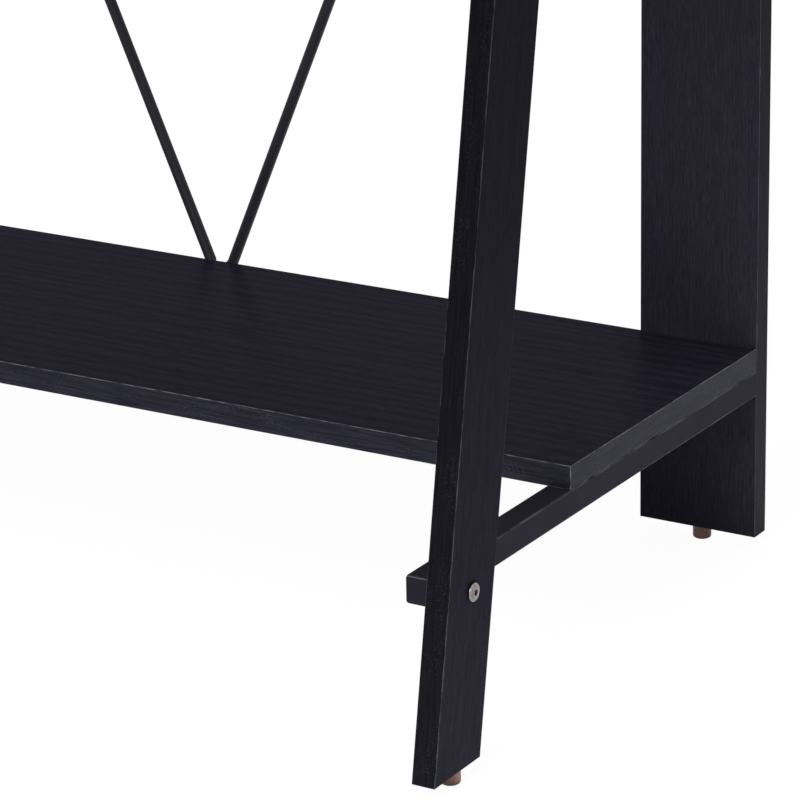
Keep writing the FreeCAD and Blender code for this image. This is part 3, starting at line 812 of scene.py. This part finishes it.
def rod_section(along, half_width, depth, flatness):
    """Ring across a rod: a flat tab at flatness 1 and a round bar at 0."""
    power = 2 / (ROUND_EXPONENT + TAB_EXTRA_EXPONENT * flatness)
    points = []
    for step in range(RING_STEPS):
        turn = math.tau * step / RING_STEPS
        parts = (math.cos(turn), math.sin(turn))
        across, through = (math.copysign(abs(part) ** power, part) for part in parts)
        points.append(Vector((half_width * across, depth / 2 * (1 + through), along)))
    return points


def rod_end():
    """Rings of a rod's end, from the tip of its tab to the round bar."""
    for step in range(ROD_END_STEPS + 1):
        turn = math.pi / 2 * max(step, ROD_TIP_STEP) / ROD_END_STEPS
        along = -TAB_HALF_WIDTH * math.cos(turn)
        yield rod_section(along, TAB_HALF_WIDTH * math.sin(turn), TAB_THICKNESS, 1.0)
    for step in range(ROD_END_STEPS + 1):
        share = step / ROD_END_STEPS
        swell = share * share * (3 - 2 * share)
        along = TAB_FLAT + (TAB_BLEND - TAB_FLAT) * share
        half_width = TAB_HALF_WIDTH + (ROD_RADIUS - TAB_HALF_WIDTH) * swell
        depth = TAB_THICKNESS + (2 * ROD_RADIUS - TAB_THICKNESS) * swell
        yield rod_section(along, half_width, depth, 1.0 - swell)


def brace_rod(side):
    """Round rod with both ends flattened into tabs under the screws."""
    node = f"brace_rod_{side}"
    screws = [box for box in islands("brace_screws") if (box[0].x > 0) == (side == "right")]
    low, high = sorted(((box[0] + box[1]) / 2 for box in screws), key=lambda place: place.z)
    low.y = high.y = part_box(node)[0].y
    climb = (high - low).normalized()
    length = (high - low).length
    near = list(rod_end())
    far = []
    for points in reversed(near):
        far.append([Vector((point.x, point.y, length - point.z)) for point in points])
    mesh = bmesh.new()
    placement = Matrix.Translation(low) @ axes_turn(Y_AXIS.cross(climb), Y_AXIS, climb)
    loft(mesh, near + far, placement)
    finish_piece(f"{node}_bar", mesh, node, ["rod_steel"], smooth_angle=ROD_SMOOTH_ANGLE)


for side in SIDES:
    brace_rod(side)


# Rails and the hardware that keeps its CAD shape

for level in LEVELS:
    for side in SIDES:
        dress(f"side_rail_{level}_{side}", "coated_steel")
for node in ("rail_rear_plugs", "rail_rivet_nuts", "foot_nails"):
    dress(node, "zinc_steel")


# Studio


def seen_directly(tree):
    """1 for rays from the camera and for mirrored or refracted ones, 0 for light that bounces about."""
    path = add(tree, "LightPath").outputs
    seen = combine(tree, "MAXIMUM", path["Is Camera Ray"], path["Is Glossy Ray"])
    return combine(tree, "MAXIMUM", seen, path["Is Transmission Ray"])


def show(tree, lighting, seen, output):
    """Ends a tree in one shader for the light that bounces about and another for what is seen."""
    inputs = {0: seen_directly(tree), 1: lighting.outputs[0], 2: seen.outputs[0]}
    mixed = add(tree, "MixShader", inputs)
    tree.links.new(mixed.outputs[0], tree.nodes[output].inputs["Surface"])


def white_world():
    """World that is white to the eye and lights the desk at a plain level."""
    world = bpy.data.worlds.new("studio")
    world.use_nodes = True
    tree = world.node_tree
    lighting = tree.nodes["Background"]
    lighting.inputs["Color"].default_value = WHITE
    lighting.inputs["Strength"].default_value = WORLD_LIGHT
    white = add(tree, "Background", {"Color": WHITE, "Strength": 1.0})
    show(tree, lighting, white, "World Output")
    bpy.context.scene.world = world


def pale_floor():
    """Floor that is white to the eye, keeps the desk's shadow and bounces light as a pale floor does."""
    mesh = bmesh.new()
    bmesh.ops.create_grid(mesh, x_segments=1, y_segments=1, size=FLOOR_HALF_WIDTH)
    data = bpy.data.meshes.new("floor")
    mesh.to_mesh(data)
    mesh.free()
    floor = bpy.data.objects.new("floor", data)
    bpy.context.scene.collection.objects.link(floor)
    material, tree, surface = new_material("floor")
    tree.nodes.remove(surface)
    bounce = add(tree, "BsdfDiffuse", {"Color": (FLOOR_BOUNCE,) * 3 + (1,)})
    shaded = add(tree, "BsdfDiffuse", {"Color": (FLOOR_SHADOW_SHARE,) * 3 + (1,)})
    # At FLOOR_LEVEL of light, the shaded share and the floor's own light add up to white.
    own_light = 1.0 - FLOOR_SHADOW_SHARE * FLOOR_LEVEL
    glow = add(tree, "Emission", {"Color": WHITE, "Strength": own_light})
    seen = add(tree, "AddShader", {0: shaded.outputs[0], 1: glow.outputs[0]})
    show(tree, bounce, seen, "Material Output")
    data.materials.append(material)


def lamp(name, kind, energy, place, turn, **settings):
    """A lamp of one kind at a place, turned by a quaternion."""
    data = bpy.data.lights.new(name, kind)
    data.energy = energy
    for key, setting in settings.items():
        setattr(data, key, setting)
    light = bpy.data.objects.new(name, data)
    light.location = place
    light.rotation_mode = "QUATERNION"
    light.rotation_quaternion = turn
    bpy.context.scene.collection.objects.link(light)
    return light


def floor_glow():
    """Light that a bright floor throws back, from a strip along each side of the desk."""
    low, high = cad_box[0], cad_box[1]
    width, depth = high[0] - low[0], high[1] - low[1]
    upwards = Quaternion((1, 0, 0), math.pi)
    beside = (width + FLOOR_GLOW_WIDTH) / 2
    before = (depth + FLOOR_GLOW_WIDTH) / 2
    side_run = depth + 2 * FLOOR_GLOW_WIDTH
    strips = {
        "glow_right": (beside, 0, FLOOR_GLOW_WIDTH, side_run),
        "glow_left": (-beside, 0, FLOOR_GLOW_WIDTH, side_run),
        "glow_front": (0, -before, width, FLOOR_GLOW_WIDTH),
        "glow_back": (0, before, width, FLOOR_GLOW_WIDTH),
    }
    for name, (x, y, across, deep) in strips.items():
        power = FLOOR_GLOW * math.pi * across * deep
        place = (x, y, FLOOR_GLOW_HEIGHT)
        strip = lamp(name, "AREA", power, place, upwards, shape="RECTANGLE", size=across, size_y=deep)
        strip.visible_camera = False
        strip.visible_glossy = False


def camera():
    """Camera with no shift, turned by its yaw, pitch and roll."""
    ahead = Vector((
        -math.sin(CAMERA_YAW) * math.cos(CAMERA_PITCH),
        math.cos(CAMERA_YAW) * math.cos(CAMERA_PITCH),
        -math.sin(CAMERA_PITCH),
    ))
    level_right = Vector((math.cos(CAMERA_YAW), math.sin(CAMERA_YAW), 0.0))
    level_down = ahead.cross(level_right)
    right = level_right * math.cos(CAMERA_ROLL) + level_down * math.sin(CAMERA_ROLL)
    up = level_right * math.sin(CAMERA_ROLL) - level_down * math.cos(CAMERA_ROLL)
    data = bpy.data.cameras.new("camera")
    data.lens = CAMERA_LENS
    data.sensor_width = CAMERA_SENSOR
    eye = bpy.data.objects.new("camera", data)
    eye.matrix_world = Matrix.Translation(CAMERA_PLACE) @ axes_turn(right, up, -ahead)
    bpy.context.scene.collection.objects.link(eye)
    bpy.context.scene.camera = eye


white_world()
pale_floor()
key_turn = KEY_DIRECTION.to_track_quat("-Z", "Y")
lamp("key", "SUN", KEY_LIGHT, KEY_PLACE, key_turn, angle=KEY_SPREAD)
floor_glow()
camera()
bpy.context.scene.view_settings.view_transform = "Standard"
